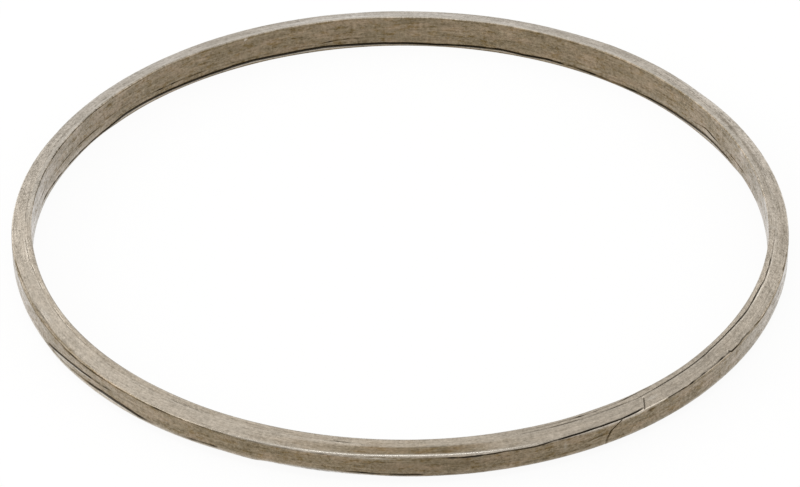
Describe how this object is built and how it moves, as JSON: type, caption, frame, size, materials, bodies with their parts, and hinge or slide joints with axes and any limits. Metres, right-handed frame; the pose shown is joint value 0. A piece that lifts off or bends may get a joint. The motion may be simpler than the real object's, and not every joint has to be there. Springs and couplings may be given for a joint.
{
  "type": "exhaust pipe flange gasket",
  "caption": "Thin ring gasket folded from steel strip to a wedge section, with lapped seams and a scarf joint, sealing the bore between two clamped exhaust pipe flanges",
  "frame": {"origin": "on the ring's axis, at the level of the foot fold that it rests on", "axes": "+Z is the ring's axis, pointing up from the foot to the crest; -Y faces the picture's camera and +X is to its right"},
  "size_m": [0.14, 0.14, 0.0068],
  "materials": {
    "folded_steel": "dull pressed steel foil, warm grey, stained brown on the walls"
  },
  "bodies": {
    "root": {"gasket_ring": "folded_steel"}
  },
  "joints": []
}
